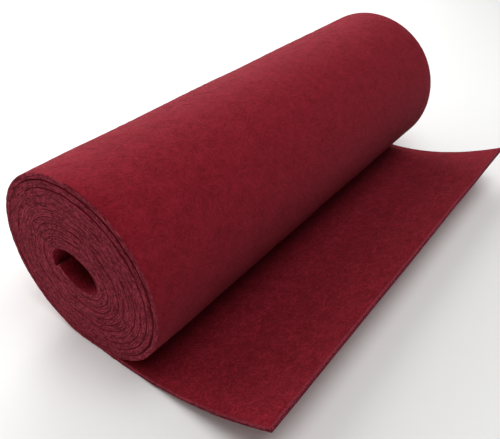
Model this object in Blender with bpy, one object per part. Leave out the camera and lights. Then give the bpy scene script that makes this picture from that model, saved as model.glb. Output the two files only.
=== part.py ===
"""One cut length of thick felt, wound into a roll with its outer end lying loose.

Metres, +Z up. The roll's axis runs along Y and the floor is z = 0. The loose end leaves the
bottom of the roll towards +X. Angles are measured round the core's centre, in the XZ plane,
from +X towards +Z, and they keep growing from the felt's inner end to its outer end.
"""

import math

import bmesh
import bpy
import numpy as np

FELT_WIDTH = 0.450
FELT_THICKNESS = 0.0044
FELT_COLOUR = (0.185, 0.028, 0.042, 1.0)
FELT_ROUGHNESS = 0.95

# The roll has sagged a little: its outline is an oval that leans to the upper right, with a soft
# bulge at the lower right, and it stands on a narrow flat.
ROLL_HALF_LENGTH = 0.0826
ROLL_HALF_HEIGHT = 0.0792
ROLL_TILT = math.radians(22)
ROLL_CENTRE_X = -0.0002
ROLL_CENTRE_Z = 0.0791
BULGE_HEIGHT = 0.0016
BULGE_ANGLE = math.radians(321)
BULGE_SPREAD = math.radians(30)
FLAT_BLEND = 0.4

# The empty core is an oval lying on its side, and the felt's inner end cuts across its lower left.
CORE_CENTRE_X = -0.0032
CORE_CENTRE_Z = 0.0766
CORE_HALF_LENGTH = 0.0242
CORE_HALF_HEIGHT = 0.0170
CORE_TILT = math.radians(-10)
START_TUCK = 0.0025
TUCK_SHARE = 0.25
STEP_SHARE = 0.15

# The felt runs from its inner end to the bottom of the roll, this many whole turns further on.
TURNS = 11
START_ANGLE = math.radians(204)
BOTTOM_ANGLE = math.radians(270)
STEPS_PER_TURN = 48
LEAST_GAP = 0.00025

# How the slack between the turns is shared out, at four places round the roll. Row 1 is the gap
# round the innermost turn, and a share of 1 is an even gap.
GAP_COLUMNS = ("bottom", "right", "top", "left")
GAP_SHARES = (
    (2.0, 0.6, 0.6, 1.2),
    (1.4, 0.8, 0.9, 1.8),
    (0.7, 0.9, 0.9, 1.0),
    (1.0, 1.1, 0.6, 1.0),
    (1.3, 1.0, 0.6, 1.8),
    (0.8, 1.0, 1.4, 0.6),
    (0.7, 0.7, 0.6, 0.9),
    (0.8, 1.0, 1.0, 0.5),
    (0.6, 1.1, 1.3, 0.5),
    (0.7, 1.5, 1.5, 0.7),
)

# The loose end lies flat to start with and then curls up towards its cut edge.
LOOSE_END_REACH = 0.1755
CURL_START_X = 0.0410
CURL_RISE = 0.0400
CURL_POWER = 1.94
LOOSE_END_STEPS = 18

FULL_TURN = 2 * math.pi


def smooth_step(share):
    """0 below 0, 1 above 1, and an S-shaped rise between them."""
    share = min(max(share, 0.0), 1.0)
    return share * share * (3 - 2 * share)


def core_radius(angle):
    """Distance from the core's centre to the middle of the felt on an oval round the empty core."""
    half_length = CORE_HALF_LENGTH + FELT_THICKNESS / 2
    half_height = CORE_HALF_HEIGHT + FELT_THICKNESS / 2
    along = math.cos(angle - CORE_TILT) / half_length
    across = math.sin(angle - CORE_TILT) / half_height
    return 1 / math.hypot(along, across)


def rim_radius(angle):
    """Distance from the core's centre to the middle of the felt on the roll's outline.

    A ray from the core meets the leaning oval, and the bulge is added as a bell-shaped rise."""
    half_length = ROLL_HALF_LENGTH - FELT_THICKNESS / 2
    half_height = ROLL_HALF_HEIGHT - FELT_THICKNESS / 2
    off_x = CORE_CENTRE_X - ROLL_CENTRE_X
    off_z = CORE_CENTRE_Z - ROLL_CENTRE_Z
    start_along = (off_x * math.cos(ROLL_TILT) + off_z * math.sin(ROLL_TILT)) / half_length
    start_across = (off_z * math.cos(ROLL_TILT) - off_x * math.sin(ROLL_TILT)) / half_height
    step_along = math.cos(angle - ROLL_TILT) / half_length
    step_across = math.sin(angle - ROLL_TILT) / half_height
    a = step_along**2 + step_across**2
    b = start_along * step_along + start_across * step_across
    c = start_along**2 + start_across**2 - 1
    away = math.remainder(angle - BULGE_ANGLE, FULL_TURN) / BULGE_SPREAD
    return (math.sqrt(b * b - a * c) - b) / a + BULGE_HEIGHT * math.exp(-(away**2))


def flattened(radius, angle, height):
    """The radius, cut back where it would reach below the given height, with an eased corner.

    The ease covers a share of the most that the flat cuts away, so the flat keeps its middle."""
    if math.sin(angle) > -0.5:
        return radius
    to_flat = (CORE_CENTRE_Z - height) / -math.sin(angle)
    ease = FLAT_BLEND * (rim_radius(BOTTOM_ANGLE) - CORE_CENTRE_Z + height)
    overlap = max(ease - abs(radius - to_flat), 0)
    return min(radius, to_flat) - overlap**2 / (4 * ease)


def start_radius(angle):
    """The first turn before its last stretch climbs over the felt's inner end."""
    done = (angle - START_ANGLE) / FULL_TURN
    return core_radius(angle) - START_TUCK * (1 - smooth_step(done / TUCK_SHARE))


# One turn's share of the way from the first turn to the last one, at the bottom and at the inner end.
BOTTOM_PITCH = (CORE_CENTRE_Z - FELT_THICKNESS / 2 - start_radius(BOTTOM_ANGLE)) / TURNS
START_PITCH = (rim_radius(START_ANGLE) - start_radius(START_ANGLE)) / TURNS


def first_turn(angle):
    """The innermost turn: the oval core, tucked in at its start and stepping out at its end."""
    done = (angle - START_ANGLE) / FULL_TURN
    climb = START_PITCH - START_TUCK
    return start_radius(angle) + climb * smooth_step((done - 1 + STEP_SHARE) / STEP_SHARE)


def last_turn(angle):
    """The outermost turn: it begins on top of the loose end and comes down to the floor."""
    resting = FELT_THICKNESS / 2
    if angle > BOTTOM_ANGLE:
        resting += BOTTOM_PITCH
    return flattened(rim_radius(angle), angle, resting)


def gap_place(angle):
    """How many even gaps the uneven shares move the felt outwards at this angle, eased between rows."""
    moved = np.vstack([np.zeros(len(GAP_COLUMNS)), np.cumsum(np.array(GAP_SHARES) - 1, axis=0)])
    moved -= np.linspace(0, 1, len(moved))[:, None] * moved[-1]
    quarter = max((angle - BOTTOM_ANGLE) / FULL_TURN, 0) * len(GAP_COLUMNS)
    places = np.append(moved.ravel(), 0)
    below = min(int(quarter), len(places) - 2)
    share = smooth_step(quarter - below)
    return places[below] * (1 - share) + places[below + 1] * share


def winding_radius(angle):
    """The first turn, moved out by one pitch for each whole turn, with the slack shared unevenly."""
    whole = int((angle - START_ANGLE) / FULL_TURN + 1e-9)
    first = angle - whole * FULL_TURN
    spaces = TURNS if first <= BOTTOM_ANGLE + 1e-9 else TURNS - 1
    pitch = (last_turn(first) - first_turn(first)) / spaces
    slack = pitch - FELT_THICKNESS - LEAST_GAP
    return first_turn(first) + whole * pitch + slack * gap_place(angle)


def wound_points():
    """The middle line of the wound felt, with its points on the same rays in every turn."""
    end_angle = BOTTOM_ANGLE + TURNS * FULL_TURN
    steps = round((end_angle - START_ANGLE) / FULL_TURN * STEPS_PER_TURN)
    points = []
    for angle in np.linspace(START_ANGLE, end_angle, steps + 1):
        radius = winding_radius(angle)
        x = CORE_CENTRE_X + radius * math.cos(angle)
        z = CORE_CENTRE_Z + radius * math.sin(angle)
        points.append((x, z))
    return points


def loose_points():
    """The middle line of the loose end: flat, then rising as a power of the distance along it."""
    points = []
    for x in np.linspace(CORE_CENTRE_X, LOOSE_END_REACH, LOOSE_END_STEPS + 1)[1:]:
        along = max(x - CURL_START_X, 0) / (LOOSE_END_REACH - CURL_START_X)
        points.append((x, FELT_THICKNESS / 2 + CURL_RISE * along**CURL_POWER))
    return points


def make_material():
    """Dyed needle felt: a dull deep red with no shine."""
    material = bpy.data.materials.new("felt")
    material.use_nodes = True
    shader = material.node_tree.nodes["Principled BSDF"]
    shader.inputs["Base Color"].default_value = FELT_COLOUR
    shader.inputs["Roughness"].default_value = FELT_ROUGHNESS
    shader.inputs["Metallic"].default_value = 0.0
    return material


def make_felt():
    """A ribbon along the middle line, as wide as the felt, thickened to both sides."""
    ribbon = bmesh.new()
    line = [ribbon.verts.new((x, -FELT_WIDTH / 2, z)) for x, z in wound_points() + loose_points()]
    edges = [ribbon.edges.new(pair) for pair in zip(line, line[1:])]
    swept = bmesh.ops.extrude_edge_only(ribbon, edges=edges)
    far_points = [item for item in swept["geom"] if isinstance(item, bmesh.types.BMVert)]
    bmesh.ops.translate(ribbon, verts=far_points, vec=(0, FELT_WIDTH, 0))
    mesh = bpy.data.meshes.new("felt")
    ribbon.to_mesh(mesh)
    ribbon.free()
    mesh.shade_smooth()
    mesh.set_sharp_from_angle(angle=math.radians(40))
    mesh.materials.append(make_material())
    felt = bpy.data.objects.new("felt", mesh)
    bpy.context.scene.collection.objects.link(felt)
    thickness = felt.modifiers.new("thickness", "SOLIDIFY")
    thickness.thickness = FELT_THICKNESS
    thickness.offset = 0
    thickness.use_even_offset = True
    return felt


def main():
    for old in list(bpy.data.objects):
        bpy.data.objects.remove(old)
    make_felt()


main()
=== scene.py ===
"""The roll of felt as it looks: the wound sheet with its cut edges, its loose fibres, and its stage.

Metres, +Z up. The sheet is a surface of two parameters: the distance along the felt from its inner
end, and the distance round its thin cross-section. Angles are measured round the core's centre in
the XZ plane, from +X towards +Z, and keep growing from the felt's inner end to its free edge.
"""

import math

import bpy
import numpy as np
from bpy.props import FloatProperty, FloatVectorProperty, IntProperty, PointerProperty
from mathutils import Matrix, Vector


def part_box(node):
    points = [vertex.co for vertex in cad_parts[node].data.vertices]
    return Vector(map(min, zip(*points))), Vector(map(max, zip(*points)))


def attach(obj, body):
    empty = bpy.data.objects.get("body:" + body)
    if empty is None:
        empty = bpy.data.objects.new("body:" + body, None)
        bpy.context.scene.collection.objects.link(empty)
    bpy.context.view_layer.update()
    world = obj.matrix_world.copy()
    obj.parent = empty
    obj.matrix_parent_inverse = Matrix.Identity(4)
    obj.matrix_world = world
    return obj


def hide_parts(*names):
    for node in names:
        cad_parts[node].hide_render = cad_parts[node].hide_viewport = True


bl_info = {
    "name": "Roll of Felt",
    "version": (1, 0, 0),
    "blender": (4, 5, 0),
    "location": "View3D > Sidebar > Felt Roll",
    "description": "A length of thick needle felt wound into a roll, with its outer end lying loose",
    "category": "Add Mesh",
}

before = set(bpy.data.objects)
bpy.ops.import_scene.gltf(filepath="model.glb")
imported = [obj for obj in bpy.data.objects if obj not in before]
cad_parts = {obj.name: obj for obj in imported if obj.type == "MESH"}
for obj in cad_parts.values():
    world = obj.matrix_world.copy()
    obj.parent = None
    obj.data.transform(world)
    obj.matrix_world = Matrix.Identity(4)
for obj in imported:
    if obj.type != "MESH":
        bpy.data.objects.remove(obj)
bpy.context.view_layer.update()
FELT_LOW, FELT_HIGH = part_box("felt")

FELT_WIDTH = FELT_HIGH[1] - FELT_LOW[1]
FELT_THICKNESS = 0.0044

# The roll's outline: an oval that leans to the upper right, with a soft bulge at the lower right,
# and the narrow flat that it stands on.
ROLL_HALF_LENGTH = 0.0826
ROLL_HALF_HEIGHT = 0.0792
ROLL_TILT = math.radians(22)
ROLL_CENTRE = (-0.0002, 0.0791)
BULGE_HEIGHT = 0.0016
BULGE_ANGLE = math.radians(321)
BULGE_SPREAD = math.radians(30)
FLAT_EASE = 0.4

# The empty core: an oval lying on its side, with the felt's inner end tucked in at its lower left.
CORE_CENTRE = (-0.0032, 0.0766)
CORE_HALF_LENGTH = 0.0242
CORE_HALF_HEIGHT = 0.0170
CORE_TILT = math.radians(-10)
START_TUCK = 0.0025
TUCK_SHARE = 0.25
STEP_SHARE = 0.15

# The winding, from the inner end to the bottom of the roll, this many whole turns further on.
TURNS = 11
START_ANGLE = math.radians(204)
INNER_END_ANGLE = math.radians(194)
BOTTOM_ANGLE = math.radians(270)
FULL_TURN = 2 * math.pi
LEAST_GAP = 0.00025

# How the slack is shared out at four places round the roll: a row for each gap, from the core out.
GAP_COLUMNS = ("bottom", "right", "top", "left")
GAP_SHARES = (
    (2.0, 0.6, 0.6, 1.2),
    (1.4, 0.8, 0.9, 1.8),
    (0.7, 0.9, 0.9, 1.0),
    (1.0, 1.1, 0.6, 1.0),
    (1.3, 1.0, 0.6, 1.8),
    (0.8, 1.0, 1.4, 0.6),
    (0.7, 0.7, 0.6, 0.9),
    (0.8, 1.0, 1.0, 0.5),
    (0.6, 1.1, 1.3, 0.5),
    (0.7, 1.5, 1.5, 0.7),
)

# The loose end lies flat to start with and then curls up to its cut edge.
LOOSE_END_REACH = 0.1755
CURL_START_X = 0.0410
CURL_RISE = 0.0400
CURL_POWER = 1.94

# The core's wall bulges inwards at its upper right, in the first turn.
CORE_BULGE_ANGLE = math.radians(405)
CORE_BULGE_SPREAD = math.radians(60)

# The stretch of the outermost gap that stays open, by the angle of the turn inside it, and how much
# of the filling is left out there, in the outermost gap and in the next one inwards.
LOOSE_GAP_START = BOTTOM_ANGLE + (TURNS - 2) * FULL_TURN + math.radians(50)
LOOSE_GAP_END = BOTTOM_ANGLE + (TURNS - 2) * FULL_TURN + math.radians(195)
LOOSE_GAP_EASE = 0.5
LOOSE_SHARES = (0.75, 0.5)

# The turns are eased apart at the roll's lower right, and the first few at its upper left too.
EASED_ANGLE = math.radians(315)
EASED_UPPER_TURNS = 4

# Where less than PRESSED_GAP is left between two turns their cut corners stay square, out to this
# share of the rounding, and where more than FREE_GAP is left they are round.
PRESSED_GAP = 0.0001
FREE_GAP = 0.0003
SQUARED_SHARE = 0.85

# Points of the middle line: in each turn, along the loose end, and in the evenly spaced result.
POINTS_PER_TURN = 720
LOOSE_POINTS = 400
LINE_POINTS = 5000

# Lengths of felt, back and forth from where the loose end leaves the bottom of the roll: the part
# of the outer turn that shows, and where the loose end's two faces come free.
SHOWN_TURN = 0.48
UPPER_FACE_START = 0.04
UNDER_FACE_START = 0.03

# How far inside the cut edges the loose fibres of the faces and of the rim end.
FACE_FIBRE_MARGIN = 0.0008
RIM_FIBRE_MARGIN = 0.0001
RIM_WIDTH = 0.0011


def linear(hex_colour):
    """An sRGB hex colour such as 8A2B37 as the linear red, green and blue that shaders take."""
    channels = [int(hex_colour[i : i + 2], 16) / 255 for i in (0, 2, 4)]
    return tuple(c / 12.92 if c <= 0.04045 else ((c + 0.055) / 1.055) ** 2.4 for c in channels)


class FeltSettings(bpy.types.PropertyGroup):
    """Sizes and colours of the wound sheet."""

    spacing: FloatProperty(
        name="Spacing", description="Distance between two rows of points along the felt",
        default=0.0022, min=0.001, unit="LENGTH", subtype="DISTANCE")
    close_share: FloatProperty(
        name="Closing share", description="Share of a gap that each of the two faces beside it fills at most",
        default=0.46, min=0, max=0.48, subtype="FACTOR")
    eased_share: FloatProperty(
        name="Easing", description="How much less of a gap is filled where the turns are eased apart",
        default=0.45, min=0, max=1, subtype="FACTOR")
    close_most: FloatProperty(
        name="Most closing", description="The most that a face swells into a wide gap",
        default=0.0012, min=0, unit="LENGTH", subtype="DISTANCE")
    core_swell: FloatProperty(
        name="Core swell", description="How far the innermost turn bulges into the core at its upper right",
        default=0.0011, min=0, unit="LENGTH", subtype="DISTANCE")
    cut_rounding: FloatProperty(
        name="Cut rounding", description="How far the cut edges round over",
        default=0.00035, min=0.0001, unit="LENGTH", subtype="DISTANCE")
    ragged: FloatProperty(
        name="Ragged", description="How unevenly the cut edges stand",
        default=0.00009, min=0, unit="LENGTH", subtype="DISTANCE")
    drift: FloatProperty(
        name="Drift", description="How far the turns stand in or out of the roll's ends",
        default=0.00016, min=0, unit="LENGTH", subtype="DISTANCE")
    ripple: FloatProperty(
        name="Ripple", description="Height of the slow unevenness of the felt's free faces",
        default=0.00016, min=0, unit="LENGTH", subtype="DISTANCE")
    deep: FloatVectorProperty(
        name="Deep red", description="Colour between the fibres", subtype="COLOR", default=linear("6C111C"))
    light: FloatVectorProperty(
        name="Light red", description="Colour of the fibre bundles on top", subtype="COLOR",
        default=linear("9A2433"))
    cut_deep: FloatVectorProperty(
        name="Deep cut red", description="Colour between the fibre ends of a cut side", subtype="COLOR",
        default=linear("520C17"))
    cut_light: FloatVectorProperty(
        name="Light cut red", description="Colour of the fibre ends of a cut side", subtype="COLOR",
        default=linear("A63B4C"))
    # Painted shade: a dark red laid over the lower half of the loose end's cut sides, where shade falls under
    # the edge.
    painted_under_shade: FloatVectorProperty(
        name="Under cut red", description="Colour of the lower half of the loose end's cut sides",
        subtype="COLOR", default=linear("4C0A13"))
    # Painted highlight: a paler red laid along the upper rim of the loose end's cut sides, where the corner
    # catches the light.
    rim: FloatVectorProperty(
        name="Rim red", description="Colour of the worn upper rim of the loose end's cut sides",
        subtype="COLOR", default=linear("B04A58"))


class FibreSettings(bpy.types.PropertyGroup):
    """Sizes and colours of the loose fibres."""

    face_density: IntProperty(
        name="Fibres a square metre", description="Bundles of fibres on each square metre of an open face",
        default=40000, min=1)
    cut_density: IntProperty(
        name="Fibres a metre", description="Bundles of fibres standing on each metre of a cut side",
        default=2400, min=1)
    rim_density: IntProperty(
        name="Rim fibres a metre", description="Bundles of fibres on each metre of the loose end's rim",
        default=4000, min=1)
    thickness: FloatProperty(
        name="Thickness", description="Thickness of a bundle of fibres",
        default=0.00013, min=0.00002, unit="LENGTH", subtype="DISTANCE")
    dark: FloatVectorProperty(
        name="Dark fibre", description="Darkest of the loose fibres", subtype="COLOR",
        default=linear("701421"))
    bright: FloatVectorProperty(
        name="Bright fibre", description="Brightest of the loose fibres", subtype="COLOR",
        default=linear("A63848"))


class StageSettings(bpy.types.PropertyGroup):
    """Floor and light."""

    floor: FloatVectorProperty(
        name="Floor", description="Colour of the plain floor", subtype="COLOR", default=linear("F8F8F7"))
    back_power: FloatProperty(
        name="Back light", description="Power of the low light at the left, behind the roll",
        default=17.0, min=0, unit="POWER")
    left_power: FloatProperty(
        name="Left light", description="Power of the high light at the left",
        default=7.0, min=0, unit="POWER")
    front_power: FloatProperty(
        name="Front light", description="Power of the low light at the left, in front of the roll",
        default=6.0, min=0, unit="POWER")
    top_power: FloatProperty(
        name="Top light", description="Power of the light above the roll's right side",
        default=10.2, min=0, unit="POWER")
    light_size: FloatProperty(
        name="Light size", description="Width of each large round light",
        default=1.0, min=0.1, unit="LENGTH", subtype="DISTANCE")
    room_strength: FloatProperty(
        name="Room light", description="Strength of the even light from all round", default=0.205, min=0)


def smooth_step(share):
    """0 below 0, 1 above 1, and the S-shaped 3x^2 - 2x^3 between them."""
    share = np.clip(share, 0, 1)
    return share * share * (3 - 2 * share)


def core_radius(angle):
    """Radius of an oval round the core, half the felt's thickness outside the hole."""
    along = np.cos(angle - CORE_TILT) / (CORE_HALF_LENGTH + FELT_THICKNESS / 2)
    across = np.sin(angle - CORE_TILT) / (CORE_HALF_HEIGHT + FELT_THICKNESS / 2)
    return 1 / np.hypot(along, across)


def rim_radius(angle):
    """Distance along a ray from the core's centre to the roll's outline, less half the thickness.

    It is the larger root of the quadratic that puts a point of the ray on the leaning oval, plus
    the bulge, which is BULGE_HEIGHT exp(-x^2) for x the angle from its middle over its spread."""
    half_length = ROLL_HALF_LENGTH - FELT_THICKNESS / 2
    half_height = ROLL_HALF_HEIGHT - FELT_THICKNESS / 2
    off_x, off_z = np.subtract(CORE_CENTRE, ROLL_CENTRE)
    cosine, sine = math.cos(ROLL_TILT), math.sin(ROLL_TILT)
    start_along = (off_x * cosine + off_z * sine) / half_length
    start_across = (off_z * cosine - off_x * sine) / half_height
    step_along = np.cos(angle - ROLL_TILT) / half_length
    step_across = np.sin(angle - ROLL_TILT) / half_height
    a = step_along**2 + step_across**2
    b = start_along * step_along + start_across * step_across
    c = start_along**2 + start_across**2 - 1
    away = (angle - BULGE_ANGLE + math.pi) % FULL_TURN - math.pi
    return (np.sqrt(b * b - a * c) - b) / a + BULGE_HEIGHT * np.exp(-((away / BULGE_SPREAD) ** 2))


def flattened(radius, angle, height):
    """The radius, cut where it would reach below a height, with the corner eased by a parabola."""
    down = np.maximum(-np.sin(angle), 0.01)
    to_flat = (CORE_CENTRE[1] - height) / down
    ease = FLAT_EASE * (rim_radius(BOTTOM_ANGLE) - CORE_CENTRE[1] + height)
    overlap = np.maximum(ease - np.abs(radius - to_flat), 0)
    return np.where(down > 0.5, np.minimum(radius, to_flat) - overlap**2 / (4 * ease), radius)


def start_radius(angle):
    """The first turn: the core's oval, tucked in over its first stretch."""
    done = (angle - START_ANGLE) / FULL_TURN
    return core_radius(angle) - START_TUCK * (1 - smooth_step(done / TUCK_SHARE))


def gap_place(angle):
    """How many even gaps the felt stands further out at this angle.

    It is the running sum of the shares less 1 each, eased from one place of the table to the next."""
    moved = np.vstack([np.zeros(len(GAP_COLUMNS)), np.cumsum(np.array(GAP_SHARES) - 1, axis=0)])
    moved -= np.linspace(0, 1, len(moved))[:, None] * moved[-1]
    places = np.append(moved.ravel(), 0)
    quarter = np.maximum((angle - BOTTOM_ANGLE) / FULL_TURN, 0) * len(GAP_COLUMNS)
    below = np.minimum(quarter.astype(int), len(places) - 2)
    share = smooth_step(quarter - below)
    return places[below] * (1 - share) + places[below + 1] * share


def winding_radius(angle):
    """Radius of the felt's middle: the first turn, plus one pitch for each whole turn.

    The pitch at an angle is the way from the first turn to the last one, over the turns between them."""
    whole = np.floor((angle - START_ANGLE) / FULL_TURN + 1e-9)
    first = angle - whole * FULL_TURN
    before_bottom = first <= BOTTOM_ANGLE + 1e-9
    bottom_pitch = (CORE_CENTRE[1] - FELT_THICKNESS / 2 - start_radius(BOTTOM_ANGLE)) / TURNS
    start_pitch = (rim_radius(START_ANGLE) - start_radius(START_ANGLE)) / TURNS
    done = (first - START_ANGLE) / FULL_TURN
    climb = (start_pitch - START_TUCK) * smooth_step((done - 1 + STEP_SHARE) / STEP_SHARE)
    inner = start_radius(first) + climb
    resting = FELT_THICKNESS / 2 + np.where(before_bottom, 0, bottom_pitch)
    outer = flattened(rim_radius(first), first, resting)
    pitch = (outer - inner) / np.where(before_bottom, TURNS, TURNS - 1)
    slack = pitch - FELT_THICKNESS - LEAST_GAP
    return inner + whole * pitch + slack * gap_place(angle)


class FeltLine:
    """The felt's middle line in the XZ plane, with what stands free on either side of it.

    Everything is an array over the distance along the felt, read between points by interpolation."""

    def __init__(self):
        end_angle = BOTTOM_ANGLE + TURNS * FULL_TURN
        angle = np.linspace(INNER_END_ANGLE, end_angle, TURNS * POINTS_PER_TURN)
        radius = winding_radius(angle)
        wound_x = CORE_CENTRE[0] + radius * np.cos(angle)
        wound_z = CORE_CENTRE[1] + radius * np.sin(angle)
        loose_x = np.linspace(CORE_CENTRE[0], LOOSE_END_REACH, LOOSE_POINTS)[1:]
        curl = np.maximum(loose_x - CURL_START_X, 0) / (LOOSE_END_REACH - CURL_START_X)
        loose_z = FELT_THICKNESS / 2 + CURL_RISE * curl**CURL_POWER
        x = np.append(wound_x, loose_x)
        z = np.append(wound_z, loose_z)
        along = np.append(0, np.cumsum(np.hypot(np.diff(x), np.diff(z))))
        self.length = along[-1]
        self.wound_length = along[len(angle) - 1]
        self.along = np.linspace(0, self.length, LINE_POINTS)
        self.x = np.interp(self.along, along, x)
        self.z = np.interp(self.along, along, z)
        slope_x = np.gradient(self.x, self.along)
        slope_z = np.gradient(self.z, self.along)
        size = np.hypot(slope_x, slope_z)
        self.outward_x = slope_z / size
        self.outward_z = -slope_x / size
        self.angle = np.interp(self.along, along[: len(angle)], angle)
        here = winding_radius(self.angle)
        outer_gap = winding_radius(np.minimum(self.angle + FULL_TURN, end_angle)) - here
        inner_gap = here - winding_radius(np.maximum(self.angle - FULL_TURN, START_ANGLE))
        covered_outside = self.angle + FULL_TURN <= end_angle
        covered_inside = (self.angle - FULL_TURN >= START_ANGLE) & (self.along <= self.wound_length)
        self.room_outside = np.where(covered_outside, np.maximum(outer_gap - FELT_THICKNESS, 0), 0)
        self.room_inside = np.where(covered_inside, np.maximum(inner_gap - FELT_THICKNESS, 0), 0)
        self.free_outside = smooth_step((self.angle + FULL_TURN - end_angle) / 0.3)
        self.free_inside = smooth_step((self.along - self.wound_length - 0.05) / 0.03)

    def read(self, values, along):
        """One of the line's arrays at these distances along the felt."""
        return np.interp(along, self.along, values)

    def point(self, along, across, height):
        """Points at a distance along the felt, a place across its width and a height off its middle."""
        x = self.read(self.x, along) + self.read(self.outward_x, along) * height
        z = self.read(self.z, along) + self.read(self.outward_z, along) * height
        return np.stack([x, across, np.maximum(z, 0)], axis=-1)


def soft_noise(first, second, size, seed):
    """Smooth noise of about unit height over two distances, with a middle wavelength of this size.

    It is a sum of sine waves that run in seeded random directions."""
    rng = np.random.default_rng(seed)
    waves = 14
    heading = rng.uniform(0, FULL_TURN, waves)
    wavelength = size * rng.uniform(0.6, 1.7, waves)
    phase = rng.uniform(0, FULL_TURN, waves)
    total = 0
    for k in range(waves):
        step = FULL_TURN / wavelength[k]
        total = total + np.sin(step * (np.cos(heading[k]) * first + np.sin(heading[k]) * second) + phase[k])
    return total * math.sqrt(2 / waves)


def face_ripple(settings, along, across):
    """Height of the slow unevenness of the free faces."""
    return settings.ripple * soft_noise(along, across, 0.09, seed=1)


def cut_place(settings, line, along, height):
    """How far a cut side stands out: (the drift of its turn towards +Y, its own unevenness outwards)."""
    turns = along / line.length * TURNS
    drift = settings.drift * (np.sin(2.3 * turns + 0.6) + 0.7 * np.sin(5.1 * turns + 2.0))
    uneven = soft_noise(along, height, 0.009, seed=2) + soft_noise(along, height, 0.025, seed=3)
    return drift, settings.ragged * uneven


# Points across a face of the felt, and through the thickness of a cut side.
FACE_POINTS = 18
CUT_POINTS = 8


def cross_section(rounding):
    """Round the sheet once, at right angles to its length: place across, share of thickness, cut or face.

    A face is a row of points at share 1 or -1, closer together near its cut sides. A cut side runs
    between them on a superellipse."""
    even = np.linspace(-1, 1, FACE_POINTS)
    face = (1.3 * even - 0.3 * even**3) * (FELT_WIDTH / 2 - rounding)
    share = np.cos(np.linspace(0, math.pi, CUT_POINTS + 2))[1:-1]
    bulge = FELT_WIDTH / 2 - rounding + rounding * (1 - np.abs(share) ** 4) ** 0.25
    across = np.concatenate([face, bulge, face[::-1], -bulge[::-1]])
    thick = np.concatenate([np.ones(FACE_POINTS), share, -np.ones(FACE_POINTS), share[::-1]])
    is_cut = np.concatenate([np.zeros(FACE_POINTS), np.ones(CUT_POINTS)] * 2)
    return across, thick, is_cut


def sheet_columns(length, spacing, rounding):
    """Distances along the felt: evenly spaced, with a quarter circle's steps at both ends."""
    ends = rounding * (1 - np.cos(np.linspace(0, math.pi / 2, 5)))
    even = np.linspace(rounding, length - rounding, int(length / spacing))
    return np.concatenate([ends, even[1:-1], length - ends[::-1]])


def end_caps(columns, ring):
    """Quads that close both ends of the sheet, each between a point and its mirror through the thickness."""
    forward = (np.arange(ring // 2) - CUT_POINTS // 2) % ring
    mirror = (2 * FACE_POINTS + CUT_POINTS - 1 - forward) % ring
    quads = np.stack([forward[:-1], forward[1:], mirror[1:], mirror[:-1]], axis=1)
    return np.vstack([quads[:, ::-1], quads + (columns - 1) * ring])


def make_mesh(name, points, faces, attributes=()):
    """A smooth-shaded mesh object from arrays, with named values at its points."""
    mesh = bpy.data.meshes.new(name)
    mesh.from_pydata(points, [], faces)
    for attribute, kind, field, values in attributes:
        layer = mesh.attributes.new(attribute, kind, "POINT")
        layer.data.foreach_set(field, np.ascontiguousarray(values, np.float32).ravel())
    mesh.shade_smooth()
    mesh.update()
    piece = bpy.data.objects.new(name, mesh)
    bpy.context.scene.collection.objects.link(piece)
    return piece


def filled(settings, room, gap_angle, along, across, seed):
    """How far a face swells into the gap beside it: a share of the gap, up to the most it may be.

    The share falls as the square of the cosine towards the side on which the turns are eased apart,
    and towards the other side in the first turns, and where slow noise is high. It is cut down in
    the two outermost gaps on the stretch where the roll has come loose, from its lower right over
    its top to its upper left."""
    towards = np.cos(gap_angle - EASED_ANGLE)
    upper = 1 - smooth_step(((gap_angle - START_ANGLE) / FULL_TURN - EASED_UPPER_TURNS) / 2)
    eased = settings.eased_share * towards**2 * np.where(towards > 0, 1, upper)
    opened = 0.3 * smooth_step(soft_noise(along, across, 0.03, seed) - 0.5)
    loose = 0
    for turn, left_out in enumerate(LOOSE_SHARES):
        turned = gap_angle + turn * FULL_TURN
        opening = smooth_step((turned - LOOSE_GAP_START) / LOOSE_GAP_EASE)
        closing = smooth_step((turned - LOOSE_GAP_END) / LOOSE_GAP_EASE)
        loose = loose + left_out * (opening - closing)
    share = settings.close_share * (1 - eased) * (1 - opened) * (1 - loose)
    return np.minimum(share * room, settings.close_most)


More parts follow.
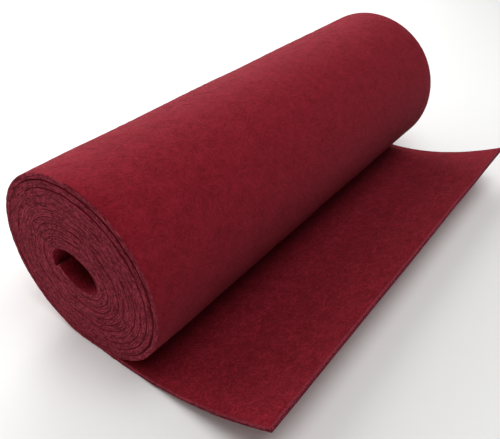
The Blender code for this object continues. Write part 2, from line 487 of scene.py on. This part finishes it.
def wound_sheet(settings):
    """The sheet's points, the place in the flat felt that each comes from, and 1 on its cut sides.

    A point is the middle line's, moved out by each side's own half thickness. A face swells by a
    share of the gap beside it, the free faces ripple slowly, and the core's wall bulges inwards by
    a bell-shaped curve. The cut sides wander by the turn's drift, stand a little unevenly, and keep
    their corners where the turns are pressed together. At both ends of the felt the thickness
    closes in on a quarter circle."""
    line = FeltLine()
    across, thick, is_cut = cross_section(settings.cut_rounding)
    along = sheet_columns(line.length, settings.spacing, settings.cut_rounding)[:, None]
    ripple = face_ripple(settings, along, across)
    angle = line.read(line.angle, along)
    room_outside = line.read(line.room_outside, along)
    room_inside = line.read(line.room_inside, along)
    filled_outside = filled(settings, room_outside, angle, along, across, seed=4)
    filled_inside = filled(settings, room_inside, angle - FULL_TURN, along, across, seed=5)
    from_core_bulge = (angle - CORE_BULGE_ANGLE) / CORE_BULGE_SPREAD
    core = settings.core_swell * np.exp(-(from_core_bulge**2))
    outside = FELT_THICKNESS / 2 + filled_outside + ripple * line.read(line.free_outside, along)
    inside = FELT_THICKNESS / 2 + filled_inside + core - ripple * line.read(line.free_inside, along)
    from_end = np.minimum(along, line.length - along)
    closing = np.clip(1 - from_end / settings.cut_rounding, 0, 1)
    closed = settings.cut_rounding * (1 - np.sqrt(1 - closing**2))
    height = (np.where(thick > 0, outside, inside) - closed) * thick
    drift, uneven = cut_place(settings, line, along, thick * FELT_THICKNESS / 2)
    room = np.where(thick > 0, room_outside, room_inside)
    left = room - 2 * np.where(thick > 0, filled_outside, filled_inside)
    pressed = np.where(room > 0, 1 - smooth_step((left - PRESSED_GAP) / (FREE_GAP - PRESSED_GAP)), 0)
    inset = FELT_WIDTH / 2 - np.abs(across)
    squared = np.where(inset < 1.01 * settings.cut_rounding, SQUARED_SHARE * inset, 0) * pressed
    place = across + drift + np.sign(across) * (is_cut * uneven + squared)
    points = line.point(along + 0 * place, place, height)
    flat_place = np.stack(np.broadcast_arrays(along, across, height), axis=-1)
    cut_side = np.maximum(is_cut, closing)
    return points, flat_place, cut_side


def grid_quads(columns, ring):
    """Quads between neighbouring points of a grid whose short way closes on itself, facing outwards."""
    column = np.arange(columns - 1)[:, None] * ring
    here = np.arange(ring)[None, :]
    after = (here + 1) % ring
    quads = np.stack([column + here, column + after, column + ring + after, column + ring + here], axis=-1)
    return quads.reshape(-1, 4)


def spun_fibres(centres, thickness):
    """Thin three-sided tubes with pointed ends, one round each row of centres (fibre, station, xyz).

    A station's ring is its centre plus the fibre's thickness along two directions at right angles to it."""
    count, stations, _ = centres.shape
    heading = np.gradient(centres, axis=1)
    heading /= np.linalg.norm(heading, axis=-1, keepdims=True)
    helper = np.where(np.abs(heading[..., 2:]) > 0.8, [1.0, 0.0, 0.0], [0.0, 0.0, 1.0])
    side = np.cross(heading, helper)
    side /= np.linalg.norm(side, axis=-1, keepdims=True)
    up = np.cross(side, heading)
    turn = np.arange(3) * FULL_TURN / 3
    ring = side[:, :, None] * np.cos(turn)[:, None] + up[:, :, None] * np.sin(turn)[:, None]
    taper = np.sin(np.linspace(0, math.pi, stations))[1:-1] ** 0.5
    rings = centres[:, 1:-1, None] + ring[:, 1:-1] * (thickness[:, None] * taper / 2)[:, :, None, None]
    points = np.concatenate([centres[:, :1], rings.reshape(count, -1, 3), centres[:, -1:]], axis=1)
    sides = [(0, 1 + k, 1 + (k + 1) % 3) for k in range(3)]
    for station in range(stations - 3):
        low = 1 + 3 * station
        for k in range(3):
            a, b = low + k, low + (k + 1) % 3
            sides += [(a, a + 3, b), (b, a + 3, b + 3)]
    tip = 1 + 3 * (stations - 2)
    sides += [(tip, tip - 3 + (k + 1) % 3, tip - 3 + k) for k in range(3)]
    offsets = np.arange(count)[:, None, None] * (tip + 1)
    return points.reshape(-1, 3), (offsets + np.array(sides)).reshape(-1, 3)


def add_node(tree, kind, inputs=None, **settings):
    """Adds a node, sets its own settings, and feeds its inputs from values or from other nodes' outputs."""
    node = tree.nodes.new(kind)
    for name, value in settings.items():
        setattr(node, name, value)
    for key, value in (inputs or {}).items():
        if isinstance(value, bpy.types.NodeSocket):
            tree.links.new(value, node.inputs[key])
        else:
            node.inputs[key].default_value = value
    return node


def new_material(name):
    """An empty node material with its output: (material, tree, output)."""
    material = bpy.data.materials.new(name)
    material.use_nodes = True
    material.node_tree.nodes.clear()
    return material, material.node_tree, material.node_tree.nodes.new("ShaderNodeOutputMaterial")


# Real sizes of the pattern in the felt, in millimetres. Single fibres are too fine to show, so the
# streaks are drawn as the bundles that needling leaves, and the pits as the marks of the needles.
BUNDLE_LENGTH_MM = 14.0
BUNDLE_WIDTH_MM = 1.3
CLOUD_MM = 20.0
GRIT_MM = 0.8
WARP_MM = 4.0
LAYER_LENGTH_MM = 14.0
LAYER_WIDTH_MM = 0.9
TUFT_LENGTH_MM = 2.6
TUFT_WIDTH_MM = 1.4
LIGHT_HEADINGS = (12, 41, 74, 103, 137, 166)
DARK_HEADINGS = (27, 58, 90, 121, 151)

# How far each pattern moves a face from its deep red, at 0, to its light red, at 1. The felt's inner face is
# streakier than its outer one, and its deeper ground is painted shade, which darkens the loose end's upper
# face.
INNER_STREAKS = 0.82
OUTER_STREAKS = 0.40
INNER_GROUND_PAINTED_SHADE = -0.38
OUTER_GROUND = -0.12
FACE_CLOUDS = 0.45
FACE_GRIT = 0.55

# The same for the cut sides: grit, the layers that needling leaves, and tufts, on a low ground.
CUT_GROUND = -3.35
CUT_GRIT = 1.8
CUT_LAYERS = (LAYER_LENGTH_MM, LAYER_WIDTH_MM, 2.8)
CUT_TUFTS = (TUFT_LENGTH_MM, TUFT_WIDTH_MM, 2.9)


def fibre_streaks(tree, place, headings, low, high):
    """The highest of several noises, each stretched along its own heading: 0 below low, 1 above high."""
    highest = None
    for number, heading in enumerate(headings):
        turned = add_node(tree, "ShaderNodeMapping", {
            "Vector": place, "Location": (0.37 * number, 0.19 * number, 0),
            "Rotation": (0, 0, math.radians(heading)),
            "Scale": (BUNDLE_LENGTH_MM / 1000, BUNDLE_WIDTH_MM / 1000, 1)}, vector_type="TEXTURE")
        grain = add_node(tree, "ShaderNodeTexNoise", {
            "Vector": turned.outputs[0], "Scale": 1.0, "Detail": 1.5, "Roughness": 0.55},
            noise_dimensions="2D")
        bundle = add_node(tree, "ShaderNodeMapRange",
            {"Value": grain.outputs["Fac"], "From Min": low, "From Max": high})
        if highest is None:
            highest = bundle.outputs[0]
        else:
            highest = add_node(tree, "ShaderNodeMath", {0: highest, 1: bundle.outputs[0]},
                operation="MAXIMUM").outputs[0]
    return highest


def needle_felt_material(settings, wound_length):
    """Polyester needle felt, dyed in the fibre: dull, with bundles of fibres lying every way.

    It gives the eye no shine, a soft pale bloom where a face turns away, fine random streaks lighter and
    darker than the ground, stronger on the inner face, and short layered marks on a cut side. On the loose
    end's cut sides a painted highlight lightens the upper rim and painted shade darkens the lower half."""
    material, tree, output = new_material("needle felt")
    place = add_node(tree, "ShaderNodeAttribute", attribute_name="flat_place").outputs["Vector"]
    side = add_node(tree, "ShaderNodeAttribute", attribute_name="cut_side").outputs["Fac"]
    warp = add_node(tree, "ShaderNodeTexNoise", {"Vector": place, "Scale": 1000 / CLOUD_MM, "Detail": 1.0})
    centred = add_node(tree, "ShaderNodeVectorMath", {0: warp.outputs["Color"], 1: (0.5, 0.5, 0.5)},
        operation="SUBTRACT")
    bent = add_node(tree, "ShaderNodeVectorMath",
        {0: centred.outputs[0], 1: (2 * WARP_MM / 1000,) * 3, 2: place}, operation="MULTIPLY_ADD").outputs[0]
    light = fibre_streaks(tree, bent, LIGHT_HEADINGS, low=0.56, high=0.80)
    dark = fibre_streaks(tree, bent, DARK_HEADINGS, low=0.58, high=0.82)
    cloud = add_node(tree, "ShaderNodeTexNoise",
        {"Vector": place, "Scale": 1000 / CLOUD_MM, "Detail": 3.0, "Roughness": 0.6}).outputs["Fac"]
    grit = add_node(tree, "ShaderNodeTexNoise",
        {"Vector": place, "Scale": 1000 / GRIT_MM, "Detail": 2.0, "Roughness": 0.6}).outputs["Fac"]
    relief = add_node(tree, "ShaderNodeMath", {0: light, 1: dark}, operation="SUBTRACT").outputs[0]
    along, _, depth = add_node(tree, "ShaderNodeSeparateXYZ", {0: place}).outputs
    strength = add_node(tree, "ShaderNodeMapRange",
        {"Value": depth, "From Min": -0.001, "From Max": 0.001, "To Min": INNER_STREAKS,
        "To Max": OUTER_STREAKS}).outputs[0]
    # The inner face's deeper ground is painted shade.
    ground = add_node(tree, "ShaderNodeMapRange",
        {"Value": depth, "From Min": -0.001, "From Max": 0.001, "To Min": INNER_GROUND_PAINTED_SHADE,
        "To Max": OUTER_GROUND}).outputs[0]
    shade = ground
    for pattern, weight in ((relief, strength), (cloud, FACE_CLOUDS), (grit, FACE_GRIT)):
        shade = add_node(tree, "ShaderNodeMath", {0: pattern, 1: weight, 2: shade},
            operation="MULTIPLY_ADD").outputs[0]
    face = add_node(tree, "ShaderNodeMix",
        {0: shade, 6: (*settings.deep, 1), 7: (*settings.light, 1)}, data_type="RGBA").outputs[2]
    cut_shade = add_node(tree, "ShaderNodeMath", {0: grit, 1: CUT_GRIT, 2: CUT_GROUND},
        operation="MULTIPLY_ADD").outputs[0]
    for length, width, weight in (CUT_LAYERS, CUT_TUFTS):
        stretched = add_node(tree, "ShaderNodeMapping",
            {"Vector": place, "Scale": (length / 1000, width / 1000, width / 1000)}, vector_type="TEXTURE")
        marks = add_node(tree, "ShaderNodeTexNoise",
            {"Vector": stretched.outputs[0], "Scale": 1.0, "Detail": 2.0, "Roughness": 0.6}).outputs["Fac"]
        cut_shade = add_node(tree, "ShaderNodeMath", {0: marks, 1: weight, 2: cut_shade},
            operation="MULTIPLY_ADD").outputs[0]
    cut = add_node(tree, "ShaderNodeMix",
        {0: cut_shade, 6: (*settings.cut_deep, 1), 7: (*settings.cut_light, 1)}, data_type="RGBA").outputs[2]
    loose = add_node(tree, "ShaderNodeMapRange",
        {"Value": along, "From Min": wound_length + 0.01, "From Max": wound_length + 0.03}).outputs[0]
    specks = add_node(tree, "ShaderNodeMapRange",
        {"Value": grit, "From Min": 0.3, "From Max": 0.6}).outputs[0]
    speckled = add_node(tree, "ShaderNodeMath", {0: loose, 1: specks}, operation="MULTIPLY").outputs[0]
    # Painted shade over the lower half of the loose end's cut sides, and a painted highlight along their
    # upper rim, both broken up by the grit.
    for low, high, most, painted_tint in (
        (0.0002, 0.0012, 0.95, settings.painted_under_shade),
        (-0.0005, -0.0015, 0.6, settings.rim),
    ):
        band = add_node(tree, "ShaderNodeMapRange",
            {"Value": depth, "From Min": low, "From Max": high, "To Max": most}).outputs[0]
        there = add_node(tree, "ShaderNodeMath", {0: band, 1: speckled}, operation="MULTIPLY").outputs[0]
        cut = add_node(tree, "ShaderNodeMix", {0: there, 6: cut, 7: (*painted_tint, 1)}, data_type="RGBA").outputs[2]
    colour = add_node(tree, "ShaderNodeMix", {0: side, 6: face, 7: cut}, data_type="RGBA").outputs[2]
    face_height = add_node(tree, "ShaderNodeMath", {0: grit, 1: 0.6, 2: relief},
        operation="MULTIPLY_ADD").outputs[0]
    height = add_node(tree, "ShaderNodeMix", {0: side, 2: face_height, 3: cut_shade},
        data_type="FLOAT").outputs[0]
    bump = add_node(tree, "ShaderNodeBump", {"Height": height, "Strength": 0.8, "Distance": 0.00025})
    sheen = add_node(tree, "ShaderNodeMapRange", {"Value": side, "To Min": 0.2, "To Max": 0.08}).outputs[0]
    shader = add_node(tree, "ShaderNodeBsdfPrincipled", {
        "Base Color": colour, "Roughness": 0.95, "Specular IOR Level": 0.05,
        "Sheen Weight": sheen, "Sheen Roughness": 0.5, "Sheen Tint": (*linear("DC7E8B"), 1),
        "Normal": bump.outputs[0]})
    tree.links.new(shader.outputs[0], output.inputs["Surface"])
    return material


def loose_fibre_material(settings):
    """Polyester staple fibre, dyed in the mass: each bundle its own red, dull with a faint sheen."""
    material, tree, output = new_material("polyester staple fibre")
    shade = add_node(tree, "ShaderNodeAttribute", attribute_name="fibre_shade")
    colour = add_node(tree, "ShaderNodeMix",
        {0: shade.outputs["Fac"], 6: (*settings.dark, 1), 7: (*settings.bright, 1)}, data_type="RGBA")
    shader = add_node(tree, "ShaderNodeBsdfPrincipled", {
        "Base Color": colour.outputs[2], "Roughness": 0.9, "Specular IOR Level": 0.1,
        "Sheen Weight": 0.2, "Sheen Roughness": 0.5, "Sheen Tint": (*linear("DC7E8B"), 1)})
    tree.links.new(shader.outputs[0], output.inputs["Surface"])
    return material


class FELT_OT_wind_sheet(bpy.types.Operator):
    """Wind the sheet of felt and give it its material"""

    bl_idname = "felt_roll.wind_sheet"
    bl_label = "Wind the felt"

    def execute(self, context):
        settings = context.scene.felt_sheet
        points, flat_place, cut_side = wound_sheet(settings)
        columns, ring, _ = points.shape
        faces = np.vstack([grid_quads(columns, ring), end_caps(columns, ring)])
        sheet = make_mesh("felt_sheet", points.reshape(-1, 3), faces.tolist(), [
            ("flat_place", "FLOAT_VECTOR", "vector", flat_place), ("cut_side", "FLOAT", "value", cut_side)])
        line = FeltLine()
        sheet.data.materials.append(needle_felt_material(settings, line.wound_length))
        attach(sheet, "root")
        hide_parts("felt")
        return {"FINISHED"}


class FELT_OT_lay_fibres(bpy.types.Operator):
    """Lay loose bundles of fibres on the open faces of the felt"""

    bl_idname = "felt_roll.lay_fibres"
    bl_label = "Lay the face fibres"

    def execute(self, context):
        line = FeltLine()
        sheet, settings = context.scene.felt_sheet, context.scene.felt_fibres
        material = loose_fibre_material(settings)
        outer_turn = (line.wound_length - SHOWN_TURN, line.wound_length)
        upper_face = (line.wound_length + UPPER_FACE_START, line.length)
        under_face = (line.wound_length + UNDER_FACE_START, line.length)
        for name, (start, end), side, seed in (
            ("roll_fibres", outer_turn, 1, 11),
            ("loose_end_upper_fibres", upper_face, -1, 12),
            ("loose_end_under_fibres", under_face, 1, 13),
        ):
            count = int(settings.face_density * (end - start) * FELT_WIDTH)
            centres = face_fibres(line, sheet, count, start, end, side, seed)
            fibre_piece(name, centres, settings, material, seed)
        rim = rim_fibres(line, settings, seed=14)
        # The rim fibres are real fuzz, but they take only the brighter half of the shades as part of the
        # painted highlight on the loose end's upper rim.
        fibre_piece("loose_end_rim_fibres", rim, settings, material, seed=14, darkest=0.5)
        return {"FINISHED"}


def rim_fibres(line, settings, seed):
    """Middle lines of short fibres along the upper rim of the loose end's three cut sides.

    A place on the near side, the free edge or the far side is drawn, then moved a little inwards.
    The path is straight, and lifted off the face by a sine arch."""
    rng = np.random.default_rng(seed)
    t = np.linspace(0, 1, 5)
    start = line.wound_length + UNDER_FACE_START
    reach = line.length - start
    count = int(settings.rim_density * (2 * reach + FELT_WIDTH))
    drawn = rng.uniform(0, 2 * reach + FELT_WIDTH, (count, 1))
    inwards = rng.uniform(0, RIM_WIDTH, (count, 1))
    along = start + np.minimum(np.minimum(drawn, 2 * reach + FELT_WIDTH - drawn), reach - inwards)
    half = FELT_WIDTH / 2 - inwards
    across = np.clip(drawn - reach - FELT_WIDTH / 2, -half, half)
    length = rng.uniform(0.0012, 0.0035, (count, 1))
    heading = rng.uniform(0, FULL_TURN, (count, 1))
    edge = FELT_WIDTH / 2 - RIM_FIBRE_MARGIN
    along = np.minimum(along + length * np.cos(heading) * (t - 0.5), line.length - RIM_FIBRE_MARGIN)
    across = np.clip(across + length * np.sin(heading) * (t - 0.5), -edge, edge)
    arch = rng.uniform(0.00008, 0.0004, (count, 1)) * np.sin(math.pi * t) - 0.00012
    return line.point(along, across, -FELT_THICKNESS / 2 - arch)


def face_fibres(line, sheet, count, start, end, side, seed):
    """Middle lines of fibres on one face: paths that bend evenly, lifted off it by a low sine arch."""
    rng = np.random.default_rng(seed)
    t = np.linspace(0, 1, 5)
    length = rng.uniform(0.004, 0.012, (count, 1))
    heading = rng.uniform(0, FULL_TURN, (count, 1)) + rng.normal(0, 0.9, (count, 1)) * t
    step = length / (len(t) - 1)
    along = rng.uniform(start, end, (count, 1)) + np.cumsum(step * np.cos(heading), axis=1)
    across = rng.uniform(-0.5, 0.5, (count, 1)) * FELT_WIDTH + np.cumsum(step * np.sin(heading), axis=1)
    edge = FELT_WIDTH / 2 - FACE_FIBRE_MARGIN
    along = np.clip(along, 0, line.length - FACE_FIBRE_MARGIN)
    across = np.clip(across, -edge, edge)
    arch = rng.uniform(0.00002, 0.00030, (count, 1)) * np.sin(math.pi * t) - 0.00005
    height = side * (FELT_THICKNESS / 2 + arch) + face_ripple(sheet, along, across)
    return line.point(along, across, height)


class FELT_OT_raise_cut_fibres(bpy.types.Operator):
    """Raise short bundles of fibres on the two long cut sides of the felt"""

    bl_idname = "felt_roll.raise_cut_fibres"
    bl_label = "Raise the cut fibres"

    def execute(self, context):
        line = FeltLine()
        sheet, settings = context.scene.felt_sheet, context.scene.felt_fibres
        material = bpy.data.materials["polyester staple fibre"]
        count = int(settings.cut_density * line.length)
        for name, side, seed in (("near_cut_fibres", -1, 21), ("far_cut_fibres", 1, 22)):
            centres = cut_fibres(line, sheet, count, side, seed)
            fibre_piece(name, centres, settings, material, seed, darkest=0.4)
        return {"FINISHED"}


def cut_fibres(line, sheet, count, side, seed):
    """Middle lines of fibres on a cut side: straight across it, and lifted off it by a low sine arch."""
    rng = np.random.default_rng(seed)
    t = np.linspace(0, 1, 4)
    length = rng.uniform(0.0008, 0.0035, (count, 1))
    heading = rng.normal(0, 0.7, (count, 1)) + math.pi * rng.integers(0, 2, (count, 1))
    half = FELT_THICKNESS / 2 - 0.0002
    along = rng.uniform(0.002, line.length - 0.002, (count, 1)) + length * np.cos(heading) * (t - 0.5)
    height = np.clip(rng.uniform(-half, half, (count, 1)) + length * np.sin(heading) * (t - 0.5), -half, half)
    drift, uneven = cut_place(sheet, line, along, height)
    arch = rng.uniform(0.00006, 0.00045, (count, 1)) * np.sin(math.pi * t) - 0.00006
    across = side * (FELT_WIDTH / 2 + arch + uneven) + drift
    return line.point(along, across, height)


def fibre_piece(name, centres, settings, material, seed, darkest=0.0):
    """One piece of many fibres round their middle lines, each of its own thickness and shade."""
    rng = np.random.default_rng(seed + 100)
    count = len(centres)
    points, faces = spun_fibres(centres, settings.thickness * rng.uniform(0.5, 1.2, count))
    shade = np.repeat(rng.uniform(darkest, 1, count), len(points) // count)
    piece = make_mesh(name, points, faces.tolist(), [("fibre_shade", "FLOAT", "value", shade)])
    piece.data.materials.append(material)
    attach(piece, "root")


class FELT_OT_stand_stage(bpy.types.Operator):
    """Lay the plain floor, set the lights and place the camera"""

    bl_idname = "felt_roll.stand_stage"
    bl_label = "Set the stage"

    def execute(self, context):
        settings = context.scene.felt_stage
        lay_floor(settings)
        light_stage(context.scene, settings)
        place_camera(context.scene)
        return {"FINISHED"}


# The floor reaches this far from the roll, and lies a hair's breadth below it.
FLOOR_HALF_WIDTH = 4.0
FLOOR_DROP = 0.0002

# What the lights are aimed at: the middle of the roll and its loose end.
LIGHT_TARGET = (0.03, 0, 0.06)


def lay_floor(settings):
    """A plain pale matt floor, far larger than the view."""
    half = FLOOR_HALF_WIDTH
    corners = [(-half, -half, 0), (half, -half, 0), (half, half, 0), (-half, half, 0)]
    floor = make_mesh("floor", corners, [(0, 1, 2, 3)])
    floor.location.z = -FLOOR_DROP
    material, tree, output = new_material("matt white paper")
    shader = add_node(tree, "ShaderNodeBsdfPrincipled",
        {"Base Color": (*settings.floor, 1), "Roughness": 0.9, "Specular IOR Level": 0.1})
    tree.links.new(shader.outputs[0], output.inputs["Surface"])
    floor.data.materials.append(material)


def light_stage(scene, settings):
    """Four large soft round lights aimed at the roll, and a little even light all round."""
    world = bpy.data.worlds.new("room light")
    world.use_nodes = True
    background = world.node_tree.nodes["Background"]
    background.inputs["Color"].default_value = (1, 1, 1, 1)
    background.inputs["Strength"].default_value = settings.room_strength
    scene.world = world
    for name, place, power in (
        ("back light", (-1.2, 0.9, 0.55), settings.back_power),
        ("left light", (-0.9, 0.1, 1.2), settings.left_power),
        ("front light", (-1.1, -0.7, 0.5), settings.front_power),
        ("top light", (0.35, -0.15, 1.4), settings.top_power),
    ):
        lamp = bpy.data.lights.new(name, "AREA")
        lamp.shape = "DISK"
        lamp.size = settings.light_size
        lamp.energy = power
        holder = bpy.data.objects.new(name, lamp)
        holder.matrix_world = aimed(place, LIGHT_TARGET)
        scene.collection.objects.link(holder)
    scene.view_settings.view_transform = "Standard"


def aimed(place, target):
    """A matrix that puts a light or camera at a place with its -Z axis towards the target."""
    back = np.subtract(place, target)
    back = back / np.linalg.norm(back)
    right = np.cross((0, 0, 1), back)
    right = right / np.linalg.norm(right)
    up = np.cross(back, right)
    matrix = np.eye(4)
    matrix[:3, :3] = np.stack([right, up, back], axis=1)
    matrix[:3, 3] = place
    return Matrix(matrix.tolist())


# The camera that the photo was taken with, as fitted to the roll's outline: how far round and above
# the near end it stands, how it is turned, and its angle of view.
CAMERA_X = 0.2866
CAMERA_BEFORE_NEAR_END = 0.1774
CAMERA_Z = 0.3634
CAMERA_AZIMUTH = math.radians(36.32)
CAMERA_DOWN = math.radians(36.79)
CAMERA_ROLL = math.radians(1.14)
CAMERA_LENS_MM = 41.35


def place_camera(scene):
    """The camera's axes from its azimuth, its downward tilt and its roll about the line of sight."""
    azimuth, down = CAMERA_AZIMUTH, CAMERA_DOWN
    right = np.array([math.cos(azimuth), math.sin(azimuth), 0])
    ahead = np.array([-math.sin(azimuth), math.cos(azimuth), 0])
    forward = math.cos(down) * ahead - math.sin(down) * np.array([0, 0, 1])
    up = np.cross(right, forward)
    cosine, sine = math.cos(CAMERA_ROLL), math.sin(CAMERA_ROLL)
    matrix = np.eye(4)
    matrix[:3, 0] = cosine * right + sine * up
    matrix[:3, 1] = cosine * up - sine * right
    matrix[:3, 2] = -forward
    matrix[:3, 3] = (CAMERA_X, FELT_LOW[1] - CAMERA_BEFORE_NEAR_END, CAMERA_Z)
    lens = bpy.data.cameras.new("camera")
    lens.lens = CAMERA_LENS_MM
    camera = bpy.data.objects.new("camera", lens)
    camera.matrix_world = Matrix(matrix.tolist())
    scene.collection.objects.link(camera)
    scene.camera = camera


class FELT_PT_panel(bpy.types.Panel):
    """Lists the steps that make the roll of felt"""

    bl_label = "Roll of Felt"
    bl_space_type = "VIEW_3D"
    bl_region_type = "UI"
    bl_category = "Felt Roll"

    def draw(self, context):
        for operator in OPERATORS:
            self.layout.operator(operator.bl_idname)
        for settings in (context.scene.felt_sheet, context.scene.felt_fibres, context.scene.felt_stage):
            for name in settings.__annotations__:
                self.layout.prop(settings, name)


OPERATORS = (FELT_OT_wind_sheet, FELT_OT_lay_fibres, FELT_OT_raise_cut_fibres, FELT_OT_stand_stage)
CLASSES = (FeltSettings, FibreSettings, StageSettings, *OPERATORS, FELT_PT_panel)


def register():
    for item in CLASSES:
        bpy.utils.register_class(item)
    bpy.types.Scene.felt_sheet = PointerProperty(type=FeltSettings)
    bpy.types.Scene.felt_fibres = PointerProperty(type=FibreSettings)
    bpy.types.Scene.felt_stage = PointerProperty(type=StageSettings)


def unregister():
    del bpy.types.Scene.felt_stage
    del bpy.types.Scene.felt_fibres
    del bpy.types.Scene.felt_sheet
    for item in reversed(CLASSES):
        bpy.utils.unregister_class(item)


def main():
    register()
    bpy.ops.felt_roll.wind_sheet()
    bpy.ops.felt_roll.lay_fibres()
    bpy.ops.felt_roll.raise_cut_fibres()
    bpy.ops.felt_roll.stand_stage()


if __name__ == "__main__":
    main()
